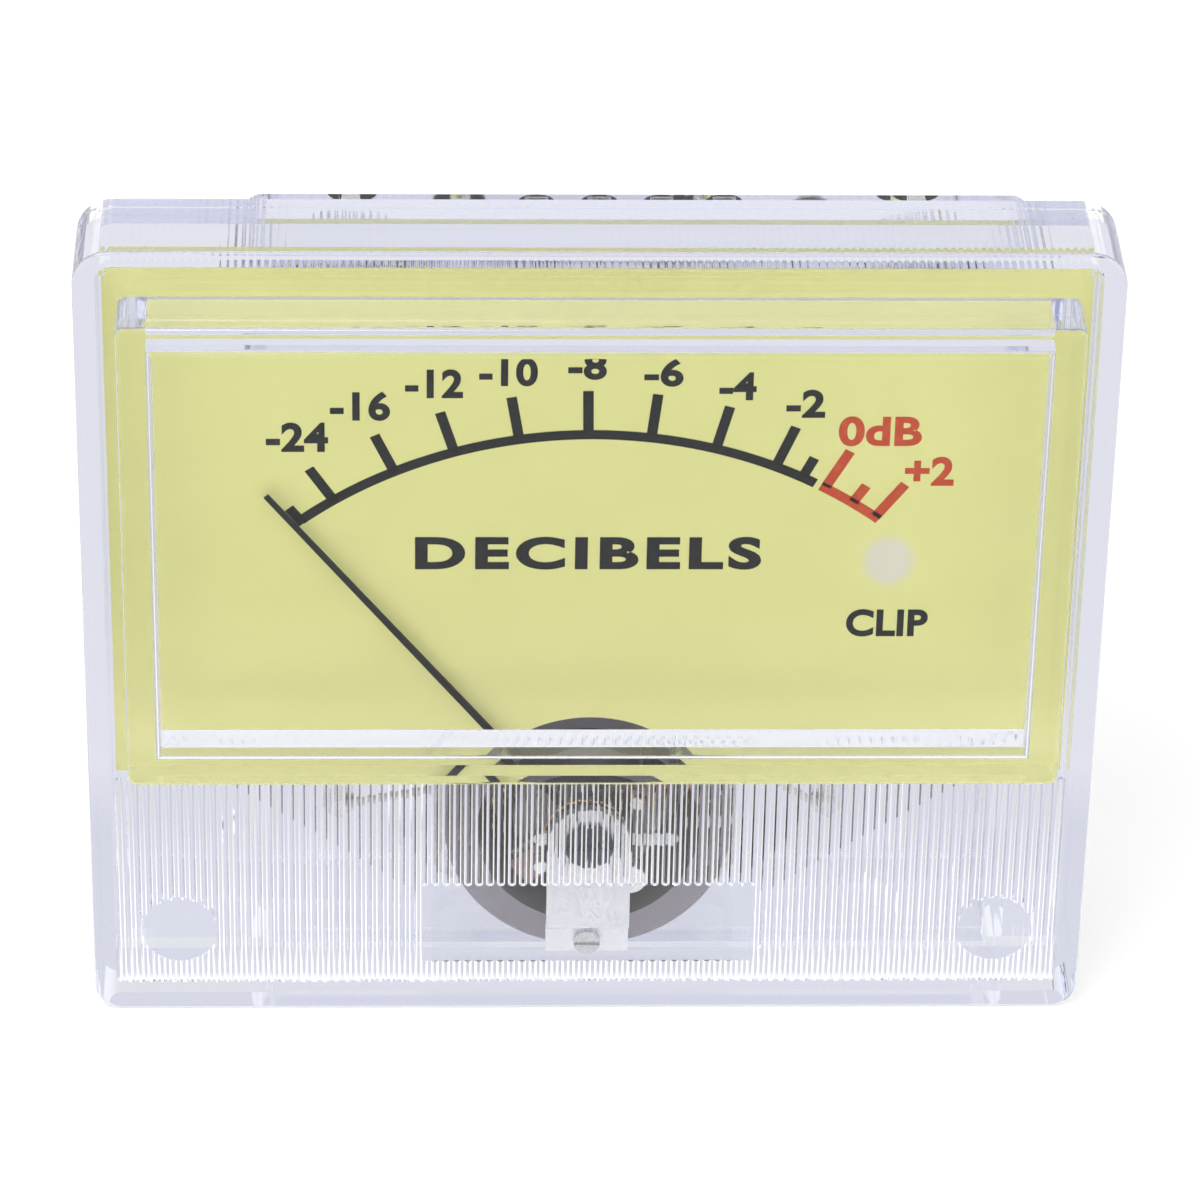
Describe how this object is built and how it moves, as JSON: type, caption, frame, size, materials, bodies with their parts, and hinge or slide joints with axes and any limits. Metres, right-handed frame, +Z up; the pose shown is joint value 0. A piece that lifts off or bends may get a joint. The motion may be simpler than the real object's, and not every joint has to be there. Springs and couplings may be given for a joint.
{
  "type": "vu meter",
  "caption": "Clear-cased moving-coil audio level meter with a raised window, translucent scale plate, swinging pointer and overload lamp.",
  "frame": {"origin": "bottom centre of the whole meter, on the face that it stands on", "axes": "+X to the viewer's right across the dial, +Y away from the viewer towards the terminals, +Z up the dial"},
  "size_m": [0.055, 0.0216, 0.0482],
  "materials": {
    "clear_cover": "gloss",
    "clear_case": "gloss",
    "dial_sheet": "matte",
    "pointer_black": "matte",
    "aluminium": "satin",
    "bridge_metal": "satin",
    "dark_steel": "satin",
    "steel": "polished",
    "yoke_iron": "satin",
    "magnet": "satin",
    "chassis_plastic": "satin",
    "copper_wire": "gloss",
    "spring_bronze": "polished",
    "brass": "polished",
    "jewel_stone": "gloss",
    "board_laminate": "satin",
    "lamp_milky": "gloss",
    "lamp_lens": "gloss",
    "tinned_pin": "satin",
    "lead_sleeve": "satin"
  },
  "bodies": {
    "case": {"front_cover": "clear_cover", "rear_case": "clear_case", "dial_plate": "dial_sheet", "yoke_ring": "yoke_iron", "magnet_core": "magnet", "movement_chassis": "chassis_plastic", "front_bridge": "bridge_metal", "rear_bridge": "bridge_metal", "bridge_pillars": "brass", "bridge_screws": "steel", "yoke_screws": "steel", "chassis_screws": "steel", "board_screws": "steel", "front_jewel_screw": "dark_steel", "rear_jewel_screw": "brass", "front_jewel": "jewel_stone", "rear_jewel": "jewel_stone", "rear_lock_nut": "brass", "rear_spring_anchor": "tinned_pin", "pointer_stops": "steel", "lamp_board": "board_laminate", "overload_lamp": "lamp_milky", "backlight_lamps": "lamp_lens", "meter_terminals": "tinned_pin", "lamp_terminals": "tinned_pin", "movement_leads": "lead_sleeve"},
    "moving_coil": {"coil_former": "aluminium", "coil_winding": "copper_wire", "pointer": "pointer_black", "pointer_hub": "aluminium", "balance_weights": "tinned_pin", "front_pivot": "steel", "rear_pivot": "steel", "front_hairspring": "spring_bronze", "rear_hairspring": "spring_bronze"},
    "zero_lever": {"zero_lever": "steel"}
  },
  "joints": [
    {"name": "needle_swing", "type": "hinge", "parent": "case", "child": "moving_coil", "pos_m": [0, -0.0043, 0.0102], "axis": [0, 1, 0], "range_deg": [0, 79], "stiffness_Nm_per_rad": 0.00004, "springref_deg": -4.58, "deforming": ["front_hairspring", "rear_hairspring"]},
    {"name": "zero_adjust", "type": "hinge", "parent": "case", "child": "zero_lever", "pos_m": [0, -0.00487, 0.0102], "axis": [0, 1, 0], "range_deg": [-6, 6]}
  ]
}
